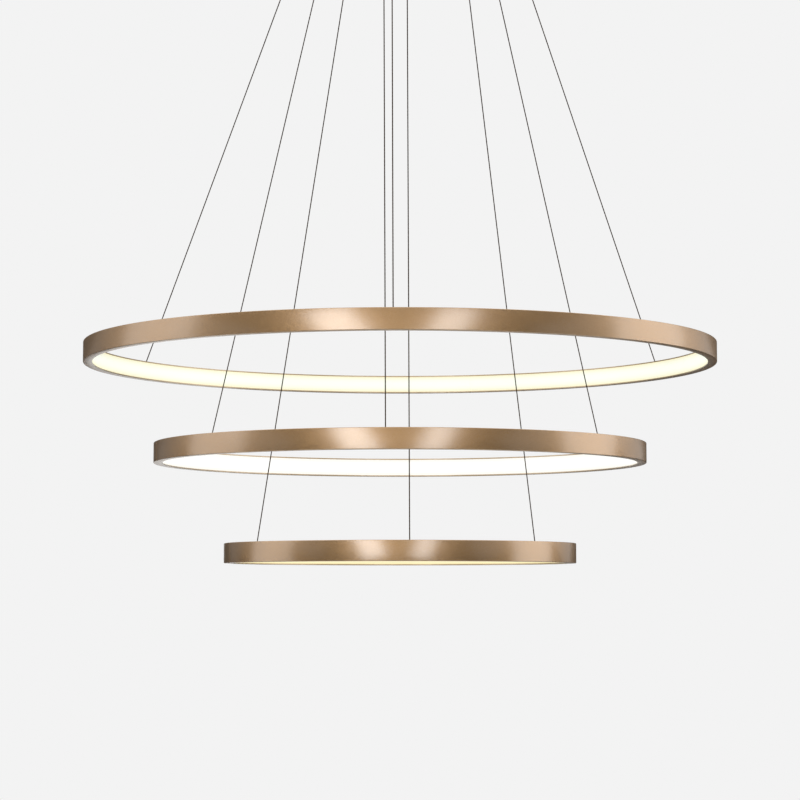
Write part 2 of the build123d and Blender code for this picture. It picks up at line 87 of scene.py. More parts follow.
canopy_radius = 0.170
canopy_height = 0.046
canopy_wall = 0.0012
canopy_edge = 0.003
canopy_rim = 0.0005
barrel_radius = 0.0065
barrel_length = 0.020
barrel_chamfer = 0.0008
barrel_mouth = 0.0026
collet_reach = 0.004
barrel_throat = 0.003       # heights above the foot of the throat and of the cone over it
barrel_cone = 0.006
barrel_grooves = (0.0044, 0.0154)       # depths below the canopy
barrel_groove_depth = 0.0003
gripper_stud_radius = 0.0049
gripper_stud_bore = 0.0015
gripper_stud_rise = 0.008
gripper_stud_slack = 0.0005             # between its foot and the barrel's wall
gripper_stud_tip = (0.0007, 0.0005)     # taper and height
gripper_thread = (0.0004, 0.001)        # depth and pitch
plate_hole_fit = 0.0002
gripper_nut = (0.014, 0.004)            # width across flats and thickness
spring_wire = 0.0003
spring_radius = 0.0028
spring_turns = 4.5
spring_gap = 0.0001
spring_room = (0.004, 0.011)            # depths below the canopy between which a spring sits
small_nut = (0.0055, 0.0024)
small_stud_radius = 0.0015
small_stud_height = 0.0065
small_stud_hole = 0.0017
small_stud_collar = 0.0004
small_stud_tip = (0.00045, 0.0003)      # taper and height
small_thread = (0.0002, 0.0005)

driver_size = (0.110, 0.042, 0.026)
driver_corner = 0.003
driver_ear_length = 0.008
driver_ear_width = 0.016
driver_ear_thickness = 0.002
driver_circle = 0.105
driver_turn = 84.0
driver_outlet = 0.018
driver_inlet = 0.015
driver_lid = 0.006
driver_lid_groove = 0.0004
driver_ease = 0.0012        # of the lid's upper edge
driver_panel = 0.006        # from the case's sides to the panel sunk in the lid
inlet_gland = ((0.0034, 0), (0.0034, 0.0014), (0.0029, 0.0018), (0.0024, 0.005), (0.0021, 0.005))
outlet_gland = ((0.0023, 0), (0.0023, 0.001), (0.0018, 0.0013), (0.0014, 0.0035), (0.0011, 0.0035))
block_size = (0.032, 0.020, 0.014)
block_foot = (0.050, 0.020, 0.002)
block_stud_spacing = 0.041
block_poles = (-0.010, 0.0, 0.010)
block_pole_radius = 0.0018
block_pole_depth = 0.004
block_screw = ((0.0015, -0.004), (0.00165, -0.0038), (0.00165, -0.0022), (0.0014, -0.0019))
block_screw_slot = (0.002, 0.00025, 0.0028)     # half length, half width and depth below the top
block_funnel = ((0.0028, 0), (0.0018, 0.0025), (0.0018, 0.006))
block_funnel_height = 0.0056

bracket_width = 0.030
bracket_thickness = 0.002
bracket_bend = 0.0035       # outer radius of the bends between the bar and its tabs
bracket_tab_depth = 0.020
bracket_tab_gap = 0.0003
slot_places = (-0.070, 0.070)
slot_length = 0.026
slot_width = 0.0055
cable_hole_radius = 0.008
earth_screw_place = 0.034
screw_radius = 0.00195
screw_hole_radius = 0.0023
cover_screw_depth = 0.012
cover_screw_length = 0.007
cover_screw_head = (0.0045, 0.0035)     # radius and height
cover_screw_thread = (0.00025, 0.0007)
cover_screw_knurls = 40
cover_screw_slot = (0.0004, 0.0011)     # half width and depth
earth_screw_head = (0.004, 0.0024)
earth_screw_slot = 0.0004               # half width

canopy_underside = -canopy_height
canopy_floor = canopy_underside + canopy_wall
collet_tip = canopy_underside - barrel_length - collet_reach
wire_sides = {"right": 30.0, "left": 150.0, "front": 270.0}
up = Vector((0, 0, 1))


def around(radius, azimuth, height=0.0):
    """A point at a radius and an azimuth in degrees about the lamp's axis."""
    angle = radians(azimuth)
    return Vector((radius * cos(angle), radius * sin(angle), height))


@dataclass
class Ring:
    """One light ring, with the places of its three wires."""

    name: str
    radius: float
    underside: float
    seam: float
    wire_turns: dict
    gripper_circle: float
    gripper_shift: float
    gripper_turn: float
    segments: int

    @property
    def middle(self):
        return self.underside + channel_height / 2

    @property
    def top(self):
        return self.underside + channel_height

    def gripper(self, side, height):
        spot = around(self.gripper_circle, wire_sides[side] + self.gripper_turn, height)
        return spot + Vector((self.gripper_shift, 0, 0))

    def hole(self, side):
        azimuth = wire_sides[side] + self.wire_turns[side]
        return around(self.radius - wire_inset, azimuth, self.top - channel_side / 2)

    def bend(self, side):
        """The point under a gripper where its wire turns towards the ring."""
        run = self.hole(side) - self.gripper(side, collet_tip)
        turn = atan2(hypot(run.x, run.y), -run.z)
        return self.gripper(side, collet_tip - wire_bend_radius * tan(turn / 2) - wire_bend_margin)

    def stop(self, side):
        """The point on the crimped stop's upper face where the wire ends."""
        direction = (self.hole(side) - self.bend(side)).normalized()
        lean = sqrt(1 - direction.z**2)
        fall = channel_side / 2 + stop_clearance + stop_radius * lean
        return self.hole(side) + direction * (fall / -direction.z)


rings = [
    Ring("large", 0.450, -0.822, 75.0, {"right": -1.7, "left": 1.3, "front": -1.1},
         0.1394, 0.0033, -6.2, 600),
    Ring("medium", 0.350, -0.963, 195.0, {"right": -2.0, "left": -2.0, "front": -3.1},
         0.1091, -0.0019, -11.4, 500),
    Ring("small", 0.250, -1.104, 199.0, {"right": 4.1, "left": 0.8, "front": 3.0},
         0.0754, 0.0118, -1.8, 400),
]

# ------------------------ mesh tools

knurl_depth = 0.05          # share of the radius


def rounded(corners, steps=5):
    """A closed outline through corners (x, y, radius), each rounded by an arc."""
    outline = []
    for index, (x, y, radius) in enumerate(corners):
        corner = Vector((x, y))
        if not radius:
            outline.append(corner)
            continue
        before = (Vector(corners[index - 1][:2]) - corner).normalized()
        after = (Vector(corners[(index + 1) % len(corners)][:2]) - corner).normalized()
        half = before.angle(after) / 2
        centre = corner + (before + after).normalized() * (radius / sin(half))
        start = corner + before * (radius / tan(half)) - centre
        end = corner + after * (radius / tan(half)) - centre
        first = atan2(start.y, start.x)
        swing = (atan2(end.y, end.x) - first + pi) % (2 * pi) - pi
        angles = [first + swing * step / steps for step in range(steps + 1)]
        outline += [centre + Vector((cos(angle), sin(angle))) * radius for angle in angles]
    return outline


class Shape:
    """The vertices and faces of one piece while it is put together."""

    def __init__(self):
        self.points = []
        self.faces = []

    def skin(self, loops, joined=False, capped=True):
        """Faces between closed loops of points; the first and last loop are joined or capped."""
        first = len(self.points)
        count = len(loops[0])
        for loop in loops:
            self.points += [tuple(point) for point in loop]
        pairs = [(index, index + 1) for index in range(len(loops) - 1)]
        if joined:
            pairs.append((len(loops) - 1, 0))
        for low, high in pairs:
            for side in range(count):
                following = (side + 1) % count
                corners = ((low, side), (low, following), (high, following), (high, side))
                self.faces.append([first + loop * count + place for loop, place in corners])
        if capped and not joined:
            last = first + (len(loops) - 1) * count
            self.faces.append([first + place for place in range(count)])
            self.faces.append([last + place for place in range(count)])
        return self

    def mesh(self, name, sharp=35.0):
        """A mesh with its normals outwards, smooth apart from its sharp edges."""
        mesh = bpy.data.meshes.new(name)
        mesh.from_pydata(self.points, [], self.faces)
        tidy_mesh(mesh, sharp)
        return mesh


def tidy_mesh(mesh, sharp=35.0):
    """Normals outwards, and smooth shading apart from edges over an angle in degrees."""
    work = bmesh.new()
    work.from_mesh(mesh)
    bmesh.ops.recalc_face_normals(work, faces=work.faces)
    work.to_mesh(mesh)
    work.free()
    mesh.polygons.foreach_set("use_smooth", [True] * len(mesh.polygons))
    mesh.set_sharp_from_angle(angle=radians(sharp))
    mesh.update()


def add_object(name, data):
    """A new object in the scene."""
    made = bpy.data.objects.new(name, data)
    bpy.context.scene.collection.objects.link(made)
    return made


def place(mesh, body, slot, material, replaced):
    """The object of a finished mesh, on its body, in place of its CAD nodes."""
    piece = add_object(mesh.name, mesh)
    mesh.materials.clear()
    mesh.materials.append(material)
    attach(piece, body)
    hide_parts(*replaced)
    return piece


def combine(mesh, other, operation="DIFFERENCE", sharp=35.0):
    """The mesh with the other shape taken out of it, or joined to it."""
    body, tool = add_object("body", mesh), add_object("tool", other)
    modifier = body.modifiers.new("combine", "BOOLEAN")
    modifier.operation = operation
    modifier.solver = "EXACT"
    modifier.object = tool
    graph = bpy.context.evaluated_depsgraph_get()
    result = bpy.data.meshes.new_from_object(body.evaluated_get(graph))
    name = mesh.name
    for item, data in ((body, mesh), (tool, other)):
        bpy.data.objects.remove(item)
        bpy.data.meshes.remove(data)
    result.name = name
    tidy_mesh(result, sharp)
    return result


def circle(radius, centre=(0, 0, 0), count=48, along=(0, 0, 1), teeth=0):
    """Points of a circle about a centre, square to a direction, plain or with knurled teeth."""
    turn = up.rotation_difference(Vector(along))
    points = []
    for angle in (2 * pi * step / count for step in range(count)):
        reach = radius * (1 - knurl_depth * (0.5 - 0.5 * cos(teeth * angle)))
        points.append(Vector(centre) + turn @ Vector((reach * cos(angle), reach * sin(angle), 0)))
    return points


def rod(shape, radius, start, end, count=32):
    """A plain round rod from point to point, added to a shape."""
    along = Vector(end) - Vector(start)
    return shape.skin([circle(radius, spot, count, along) for spot in (start, end)])


def spindle(shape, profile, centre=(0, 0, 0), along=(0, 0, 1), count=32, teeth=0):
    """A solid turned about a line, through points of (radius, distance along it)."""
    axis = Vector(along)
    return shape.skin([circle(radius, Vector(centre) + axis * far, count, axis, teeth)
                       for radius, far in profile])


def slab(shape, low, high):
    """A plain box between two corners, added to a shape."""
    corners = ((low[0], low[1]), (high[0], low[1]), (high[0], high[1]), (low[0], high[1]))
    return shape.skin([[(x, y, z) for x, y in corners] for z in (low[2], high[2])])


def panel(shape, size, corner, levels, seat=(0, 0, 0), along=(1, 0, 0)):
    """A slab with rounded corners, drawn in by some inset at each level of (inset, height)."""
    across = up.cross(Vector(along))
    loops = []
    for inset, height in levels:
        x, y = size[0] / 2 - inset, size[1] / 2 - inset
        radius = max(corner - inset, corner / 3)
        outline = rounded([(x, y, radius), (-x, y, radius), (-x, -y, radius), (x, -y, radius)])
        loops.append([Vector(seat) + Vector(along) * spot.x + across * spot.y + up * height
                      for spot in outline])
    return shape.skin(loops)


def eased(height, edge):
    """The levels of a panel of some height with its edges eased."""
    return [(edge, 0), (0, edge), (0, height - edge), (edge, height)]


def lathe(shape, outline, start=0.0, sweep=360.0, segments=96, centre=(0, 0, 0)):
    """A closed outline of (radius, height) turned about an upright line, added to a shape."""
    whole = sweep == 360.0
    steps = segments if whole else segments + 1
    loops = [[Vector(centre) + around(radius, start + sweep * step / segments, height)
              for radius, height in outline] for step in range(steps)]
    return shape.skin(loops, joined=whole)


def thread(radius, cut, low, high):
    """The profile of a thread of some (depth, pitch), as fine even ridges."""
    depth, pitch = cut
    turns = round((high - low) / pitch)
    step = (high - low) / turns
    ridges = [(radius - depth * side, low + (turn + 0.5 - 0.5 * side) * step)
              for turn in range(turns) for side in (1, 0)]
    return ridges + [(radius - depth, high)]


def nut(shape, spot, size, bore, count=48):
    """A hexagon nut with chamfered corners, standing on a point."""
    flats, thickness = size
    reach = 0.95 * flats / 2            # radius of the flat ring that the chamfer leaves
    slope = tan(radians(30))
    depth = (flats / sqrt(3) - reach) * slope
    flare = bore * 0.08
    levels = [depth * step / 4 for step in range(5)]
    levels += [thickness - level for level in reversed(levels)]
    loops = []
    for level in levels:
        cone = reach + min(level, thickness - level) / slope
        loop = []
        for step in range(count):
            angle = 360.0 * step / count
            side = flats / 2 / cos(radians(angle % 60 - 30))
            loop.append(spot + around(min(side, cone), angle, level))
        loops.append(loop)
    for radius, level in ((bore + flare, thickness), (bore, thickness - flare),
                          (bore, flare), (bore + flare, 0)):
        loops.append(circle(radius, spot + up * level, count))
    return shape.skin(loops, joined=True)


def measure(mesh, name, value_of):
    """Stores a number at each vertex, worked out from where it is."""
    values = [value_of(vertex.co) for vertex in mesh.vertices]
    mesh.attributes.new(name, "FLOAT", "POINT").data.foreach_set("value", values)


# ------------------------ materials


def add_node(tree, kind, inputs, **settings):
    """A new node with its settings, and with numbers or links on its inputs."""
    made = tree.nodes.new(kind)
    for setting, value in settings.items():
        setattr(made, setting, value)
    for socket, value in inputs.items():
        if isinstance(value, bpy.types.NodeSocket):
            tree.links.new(value, made.inputs[socket])
        else:
            made.inputs[socket].default_value = value
    return made


class Finish:
    """A procedural material, put together node by node around one Principled shader."""

    def __init__(self, name, **constants):
        self.material = bpy.data.materials.new(name)
        self.material.use_nodes = True
        self.tree = self.material.node_tree
        self.shader = self.tree.nodes["Principled BSDF"]
        for socket, value in constants.items():
            self.shader.inputs[socket.replace("_", " ")].default_value = value
        self.place = self.node("ShaderNodeTexCoord").outputs["Object"]

    def node(self, kind, inputs=None, **settings):
        """A new node of this material."""
        return add_node(self.tree, kind, inputs or {}, **settings)

    def noise(self, scale, detail=2.0, roughness=0.5, stretch=(1, 1, 1)):
        """Smooth noise from 0 to 1, with a scale per metre."""
        vector = self.node("ShaderNodeMapping", {"Vector": self.place, "Scale": stretch})
        inputs = {"Vector": vector.outputs[0], "Scale": scale, "Detail": detail, "Roughness": roughness}
        return self.node("ShaderNodeTexNoise", inputs).outputs[0]

    def flakes(self, scale):
        """A random grey for each grain of a fine crystal pattern."""
        cells = self.node("ShaderNodeTexVoronoi", {"Vector": self.place, "Scale": scale})
        return self.node("ShaderNodeSeparateColor", {"Color": cells.outputs["Color"]}).outputs[0]

    def sparkle(self, scale, tilt):
        """The surface's normal, tilted a little in a random way from grain to grain."""
        cells = self.node("ShaderNodeTexVoronoi", {"Vector": self.place, "Scale": scale})
        centred = self.node("ShaderNodeVectorMath", {0: cells.outputs["Color"], 1: (0.5, 0.5, 0.5)},
                            operation="SUBTRACT")
        lean = self.node("ShaderNodeVectorMath", {0: centred.outputs[0], "Scale": tilt}, operation="SCALE")
        normal = self.node("ShaderNodeNewGeometry").outputs["Normal"]
        leaning = self.node("ShaderNodeVectorMath", {0: normal, 1: lean.outputs[0]}, operation="ADD")
        return self.node("ShaderNodeVectorMath", {0: leaning.outputs[0]}, operation="NORMALIZE").outputs[0]

    def attribute(self, name):
        """A number stored at each vertex."""
        return self.node("ShaderNodeAttribute", attribute_name=name).outputs["Fac"]

    def math(self, operation, first, second):
        """One sum of two numbers or links."""
        return self.node("ShaderNodeMath", {0: first, 1: second}, operation=operation).outputs[0]

    def ramp(self, value, stops):
        """A colour for each value, between stops of (value, colour)."""
        made = self.node("ShaderNodeValToRGB", {"Fac": value})
        elements = made.color_ramp.elements
        while len(elements) < len(stops):
            elements.new(1.0)
        for element, (position, colour) in zip(elements, stops):
            element.position = position
            element.color = (*colour, 1.0)
        return made.outputs["Color"]

    def span(self, value, low, high):
        """A value from 0 to 1 taken to another range."""
        inputs = {"Value": value, "To Min": low, "To Max": high}
        return self.node("ShaderNodeMapRange", inputs).outputs[0]

    def blend(self, share, first, second):
        """One colour over another by a share."""
        inputs = {"Fac": share, "Color1": first, "Color2": second}
        return self.node("ShaderNodeMixRGB", inputs).outputs[0]

    def bump(self, height, depth, below=None):
        """A normal from a height from 0 to 1 that is so many metres deep."""
        inputs = {"Height": height, "Distance": depth, "Strength": 1.0}
        if below is not None:
            inputs["Normal"] = below
        return self.node("ShaderNodeBump", inputs).outputs[0]

    def set(self, **links):
        """Links to the shader's own sockets."""
        for socket, value in links.items():
            self.tree.links.new(value, self.shader.inputs[socket.replace("_", " ")])
        return self.material


def lacquer(name, base, shade, worn_and_lit):
    """Satin metallic lacquer with fine flakes, and paler edges that are partly wear and partly a painted
    highlight.
    """
    finish = Finish(name, Metallic=1.0, Coat_Weight=1.0, Coat_Roughness=0.22, Coat_IOR=2.2)
    cloud = finish.noise(9.0, detail=3.0)
    grain = finish.noise(900.0, detail=2.0, roughness=0.7)
    flakes = finish.flakes(2600.0)
    tone = finish.ramp(cloud, [(0.30, shade), (0.70, base)])
    fleck = finish.blend(finish.span(flakes, 0.0, 0.14), tone, (1.0, 0.86, 0.66, 1.0))
    # painted highlight, partly wear: the edges and lips are blended towards a pale gold
    edge = finish.span(finish.attribute("edge"), 0.0, 0.7)
    speckled = finish.math("ADD", grain, finish.span(flakes, -0.2, 0.2))
    return finish.set(
        Base_Color=finish.blend(edge, fleck, (*worn_and_lit, 1.0)),
        Roughness=finish.span(speckled, 0.38, 0.50),
        Normal=finish.bump(grain, 0.000012, finish.sparkle(1500.0, 0.16)),
    )


def opal(name, middle, edge, strength):
    """Lit opal plastic that is a little deeper in colour towards its edges."""
    finish = Finish(name, Roughness=0.42, Coat_Weight=0.15, Coat_Roughness=0.3,
                    Emission_Strength=strength)
    across = finish.attribute("across")
    drift = finish.span(finish.noise(14.0, detail=2.0), -0.06, 0.06)
    share = finish.math("ADD", across, drift)
    glow = finish.ramp(share, [(0.05, middle), (1.0, edge)])
    dimmed = finish.span(across, 0.66, 0.72)    # so that the lamps don't wash out the glow
    return finish.set(
        Base_Color=finish.blend(dimmed, glow, (0.0, 0.0, 0.0, 1.0)),
        Emission_Color=glow,
        Normal=finish.bump(finish.noise(1500.0, detail=1.0), 0.000008),
    )


def plated(name, bright, dull, roughness):
    """Plated metal with fine uneven grain."""
    finish = Finish(name, Metallic=1.0)
    grain = finish.noise(700.0, detail=3.0, roughness=0.6)
    cloud = finish.noise(60.0, detail=2.0)
    return finish.set(
        Base_Color=finish.ramp(cloud, [(0.30, dull), (0.70, bright)]),
        Roughness=finish.span(grain, roughness * 0.75, roughness * 1.3),
        Normal=finish.bump(grain, 0.000010),
    )


def turned(name, bright, dull, roughness):
    """Metal turned on a lathe, with fine rings about its upright axis."""
    finish = Finish(name, Metallic=1.0)
    rings_of_tool = finish.noise(1.0, detail=2.0, stretch=(40, 40, 6000))
    grain = finish.noise(900.0, detail=2.0)
    return finish.set(
        Base_Color=finish.ramp(rings_of_tool, [(0.30, dull), (0.65, bright)]),
        Roughness=finish.span(rings_of_tool, roughness * 0.8, roughness * 1.25),
        Normal=finish.bump(grain, 0.000006, finish.bump(rings_of_tool, 0.000012)),
    )


def moulded(name, light, dark, roughness):
    """Moulded plastic or rubber with a fine skin."""
    finish = Finish(name)
    skin = finish.noise(1400.0, detail=2.0, roughness=0.6)
    cloud = finish.noise(35.0, detail=3.0)
    return finish.set(
        Base_Color=finish.ramp(cloud, [(0.30, dark), (0.70, light)]),
        Roughness=finish.span(skin, roughness * 0.85, roughness * 1.2),
        Normal=finish.bump(skin, 0.00002),
    )


def stranded(name):
    """Fine steel strands under a thin brown coat, with painted shade in the grooves between them."""
    finish = Finish(name, Metallic=0.9, Specular_IOR_Level=0.2, Specular_Tint=(0.5, 0.34, 0.2, 1.0))
    groove = finish.attribute("groove")
    grain = finish.noise(500.0, detail=2.0)
    # painted shade: darker in the grooves between the strands, lighter on their ridges
    colour = finish.ramp(groove, [(0.0, (0.075, 0.044, 0.017)), (1.0, (0.027, 0.016, 0.007))])
    return finish.set(
        Base_Color=finish.blend(finish.span(grain, 0.0, 0.25), colour, (0.045, 0.030, 0.017, 1.0)),
        Roughness=finish.span(grain, 0.40, 0.55),
        Normal=finish.bump(grain, 0.00001),
    )


gold = (0.495, 0.252, 0.070)
gold_shade = (0.460, 0.233, 0.063)
# pale gold for the edges and lips: partly edge wear, partly a painted highlight
gold_worn_and_lit = (0.74, 0.58, 0.38)
band_finish = lacquer("ring_lacquer", gold, gold_shade, gold_worn_and_lit)
canopy_finish = lacquer("canopy_lacquer", gold, gold_shade, gold_worn_and_lit)
opal_finishes = {
    "large": opal("opal_large", (0.965, 1.0, 0.895), (0.97, 0.915, 0.62), 0.84),
    "medium": opal("opal_medium", (1.0, 1.0, 0.98), (0.98, 0.96, 0.88), 0.84),
    "small": opal("opal_small", (1.0, 0.965, 0.66), (0.98, 0.87, 0.48), 0.84),
}
wire_finish = stranded("coated_wire")
brass_finish = turned("gripper_brass", (0.56, 0.38, 0.21), (0.44, 0.29, 0.15), 0.30)
nickel_finish = plated("nickel", (0.62, 0.59, 0.53), (0.50, 0.47, 0.42), 0.25)
zinc_finish = plated("zinc_steel", (0.58, 0.60, 0.62), (0.42, 0.44, 0.46), 0.36)
spring_finish = plated("spring_steel", (0.34, 0.34, 0.36), (0.22, 0.22, 0.23), 0.28)
strip_finish = moulded("light_strip", (0.88, 0.72, 0.20), (0.80, 0.62, 0.15), 0.45)
case_finish = moulded("driver_case", (0.74, 0.74, 0.71), (0.68, 0.68, 0.65), 0.5)
block_finish = moulded("block_plastic", (0.84, 0.82, 0.74), (0.76, 0.74, 0.66), 0.35)
gland_finish = moulded("gland_rubber", (0.05, 0.05, 0.052), (0.035, 0.035, 0.037), 0.6)
lead_finish = moulded("lead_insulation", (0.030, 0.030, 0.033), (0.018, 0.018, 0.020), 0.42)

# ------------------------ light rings


def mirrored(corners, height):
    """Corners (radius, height, rounding) mirrored about a height, in the other direction."""
    return [(radius, 2 * height - level, rounding) for radius, level, rounding in reversed(corners)]


def channel_outline(ring, inset=0.0):
    """The rolled C section, from its outer face inwards, with its outside drawn in by an inset."""
    outer, mouth, back = ring.radius - inset, ring.radius - channel_depth, ring.radius - channel_back
    rib, behind = mouth + catch_setback, mouth + catch_setback + catch_width
    high, roof = ring.top - inset, ring.top - channel_side
    upper = [
        (outer, high, channel_corner), (mouth, high, lip_corner), (mouth, roof, lip_corner),
        (rib, roof, 0), (rib, roof - catch_height, 0),
        (behind, roof - catch_height, 0), (behind, roof, 0), (back, roof, 0),
    ]
    lower = mirrored(upper, ring.middle)
    return rounded(lower[-1:] + upper + lower[:-1])


def edge_wear_and_highlight(ring):
    """A measure of how near a point is to the channel's outer edges or its lips, painted paler there: partly
    edge wear, partly a painted highlight.
    """
    def value_of(point):
        radius = hypot(point.x, point.y)
        level = min(point.z - ring.underside, ring.top - point.z) / channel_corner
        if radius > ring.radius - channel_corner:
            return max(0.0, 1 - level / 1.2) if level > 0.2 else 0.6
        # the lips are painted paler all over, as a painted highlight
        return 1.0 if radius < ring.radius - channel_depth + 2 * lip_corner else 0.0
    return value_of


def build_channel(ring):
    """The rolled channel with its butt joint, chamfered there, and its three wire holes."""
    gap = seam_gap / 2 / ring.radius * 180 / pi
    chamfer = seam_chamfer / ring.radius * 180 / pi
    first, last = ring.seam + gap, ring.seam + 360 - gap
    count = ring.segments
    cuts = [(first, seam_chamfer)]
    cuts += [(first + chamfer + (last - first - 2 * chamfer) * step / count, 0.0)
             for step in range(count + 1)]
    cuts.append((last, seam_chamfer))
    shape = Shape().skin([
        [around(radius, azimuth, height) for radius, height in channel_outline(ring, inset)]
        for azimuth, inset in cuts
    ])
    holes = Shape()
    for side in wire_sides:
        spot = ring.hole(side)
        rod(holes, wire_hole_radius, spot - up * channel_side, spot + up * channel_side)
    mesh = combine(shape.mesh(f"{ring.name}_channel_skin"), holes.mesh("holes"))
    measure(mesh, "edge", edge_wear_and_highlight(ring))
    place(mesh, f"{ring.name}_ring", "ring_lacquer", band_finish, [f"{ring.name}_ring_channel"])


def diffuser_outline(ring):
    """The opal strip's section: a slightly crowned face with two feet behind it."""
    face = ring.radius - channel_depth + diffuser_recess
    back, heel = face + diffuser_face, face + diffuser_foot_length
    high = ring.top - channel_side - diffuser_fit
    foot = high - catch_height
    upper = [
        (face, high, diffuser_corner), (back, high, 0), (back, foot, 0), (heel, foot, 0),
        (heel, foot - diffuser_foot, 0), (back, foot - diffuser_foot, 0),
    ]
    rim = rounded(upper + mirrored(upper, ring.middle))
    rows = 14
    bottom = 2 * ring.middle - high + diffuser_corner
    straight = high - diffuser_corner - bottom
    shares = [row / rows for row in range(1, rows)]
    return rim + [Vector((face - diffuser_crown * sin(pi * share), bottom + straight * share))
                  for share in shares]


def edge_share(ring):
    """0 along the middle of the opal face, up to 1 at its edges."""
    half = channel_height / 2 - channel_side
    return lambda point: min(1.0, abs(point.z - ring.middle) / half) ** 2


def build_diffuser(ring):
    """The opal strip between the channel's lips."""
    gap = seam_gap / ring.radius * 180 / pi
    shape = lathe(Shape(), diffuser_outline(ring), ring.seam + gap / 2, 360 - gap, ring.segments)
    mesh = shape.mesh(f"{ring.name}_diffuser_skin")
    measure(mesh, "across", edge_share(ring))
    place(mesh, f"{ring.name}_ring", f"opal_{ring.name}", opal_finishes[ring.name],
          [f"{ring.name}_diffuser"])


# ------------------------ wires and springs


def smooth_route(points):
    """Points along the NURBS line that has the given points as its control points."""
    curve = bpy.data.curves.new("route", "CURVE")
    curve.dimensions = "3D"
    curve.resolution_u = 16
    spline = curve.splines.new("NURBS")
    spline.points.add(len(points) - 1)
    for control, point in zip(spline.points, points):
        control.co = (*point, 1.0)
    spline.order_u = 3
    spline.use_endpoint_u = True
    holder = add_object("route", curve)
    line = bpy.data.meshes.new_from_object(holder)
    path = [vertex.co.copy() for vertex in line.vertices]
    bpy.data.objects.remove(holder)
    return path


def steps_along(path, step):
    """Points and directions at even steps along a path."""
    made = []
    for start, end in zip(path, path[1:]):
        run = end - start
        count = max(1, ceil(run.length / step))
        made += [(start.lerp(end, index / count), run.normalized()) for index in range(count)]
    return made + [(path[-1], (path[-1] - path[-2]).normalized())]


def strand_wire(name, path):
    """A wire of six strands under a thin coat along a path, with the depth of its grooves."""
    count = wire_strands * 3
    loops, grooves, travelled, last = [], [], 0.0, path[0]
    across = Vector((1, 0, 0))
    for spot, direction in steps_along(path, wire_step):
        travelled += (spot - last).length
        last = spot
        side = (across - direction * across.dot(direction)).normalized()
        other = direction.cross(side)
        turn = 2 * pi * travelled / wire_lay
        loop = []
        for index in range(count):
            angle = 2 * pi * index / count
            depth = 0.5 - 0.5 * cos(wire_strands * (angle - turn))
            radius = wire_radius - wire_groove * depth
            loop.append(spot + (side * cos(angle) + other * sin(angle)) * radius)
            grooves.append(depth)
        loops.append(loop)
    mesh = Shape().skin(loops).mesh(name, sharp=80.0)
    mesh.attributes.new("groove", "FLOAT", "POINT").data.foreach_set("value", grooves)
    return mesh


def build_wire(ring, side):
    """A wire's tail through its gripper, and its free run."""
    node = f"{ring.name}_wire_{side}"
    tip = ring.gripper(side, collet_tip)
    tail_top = ring.gripper(side, canopy_floor + wire_tail)
    tail = strand_wire(f"{node}_tail", [tail_top, tip])
    place(tail, "canopy", "coated_wire", wire_finish, [node])
    bend, stop = ring.bend(side), ring.stop(side)
    first = bend + (stop - bend).normalized() * wire_first_run
    path = smooth_route([tip, bend, first, stop])
    run = place(strand_wire(f"{node}_run", path), "canopy", "coated_wire", wire_finish, [node])
    drop = tip.z - ring.hole(side).z
    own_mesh(run)
    length = sum((end - start).length for start, end in zip(path, path[1:]))
    [tuple(point) for point in path]


def build_spring(ring, side):
    """A gripper's coil spring."""
    top, bottom = (canopy_underside - depth for depth in spring_room)
    margin = spring_gap + spring_wire
    steps = round(spring_turns * 32)
    path = []
    for share in (step / steps for step in range(steps + 1)):
        height = bottom + margin + (top - bottom - 2 * margin) * share
        path.append(ring.gripper(side, height) + around(spring_radius, 360 * spring_turns * share))
    loops = [circle(spring_wire, spot, 12, direction) for spot, direction in steps_along(path, wire_step)]
    name = f"{ring.name}_spring_{side}"
    mesh = Shape().skin(loops).mesh(f"{name}_coil", sharp=80.0)
    spring = place(mesh, "canopy", "spring_steel", spring_finish, [name])
    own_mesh(spring)


# ------------------------ canopy


def driver_seats():
    """The point under each driver on the canopy's floor, with the direction along the driver."""
    azimuths = [driver_turn + 360 * index / len(rings) for index in range(len(rings))]
    return [(around(driver_circle, azimuth, canopy_floor), around(1, azimuth - 90)) for azimuth in azimuths]


def small_stud_spots():
    """The feet of the studs that hold the drivers and the terminal block, with what they hold."""
    offset = (driver_size[0] + driver_ear_length) / 2
    spots = [(seat + along * offset * end, driver_ear_thickness)
             for seat, along in driver_seats() for end in (-1, 1)]
    return spots + [(Vector((end * block_stud_spacing / 2, 0, canopy_floor)), block_foot[2])
                    for end in (-1, 1)]


def build_dish():
    """The spun dish, open towards the ceiling, with its gripper and screw holes."""
    bottom, floor, rim = canopy_underside, canopy_floor, canopy_rim
    inner = canopy_radius - canopy_wall
    flat = (0.02, 0.06, 0.11)
    section = rounded([
        *((radius, bottom, 0) for radius in flat),
        (canopy_radius, bottom, canopy_edge),
        (canopy_radius, 0, rim),
        (inner, 0, rim),
        (inner, floor, canopy_edge - canopy_wall),
        *((radius, floor, 0) for radius in reversed(flat)),
    ])
    loops = [circle(radius, (0, 0, height), 256) for radius, height in section]
    holes = Shape()
    for ring in rings:
        for side in wire_sides:
            rod(holes, gripper_stud_radius + plate_hole_fit, ring.gripper(side, bottom - canopy_wall),
                ring.gripper(side, floor + canopy_wall))
    for end in (-1, 1):
        rod(holes, screw_hole_radius, (end * (inner - canopy_wall), 0, -cover_screw_depth),
            (end * (canopy_radius + canopy_wall), 0, -cover_screw_depth))
    mesh = combine(Shape().skin(loops).mesh("canopy_dish"), holes.mesh("holes"))
    # the rim is painted paler: partly wear, partly a painted highlight
    measure(mesh, "edge", lambda point: 1.0 if point.z > -2 * rim else 0.0)
    place(mesh, "canopy", "canopy_lacquer", canopy_finish, ["canopy_cover"])


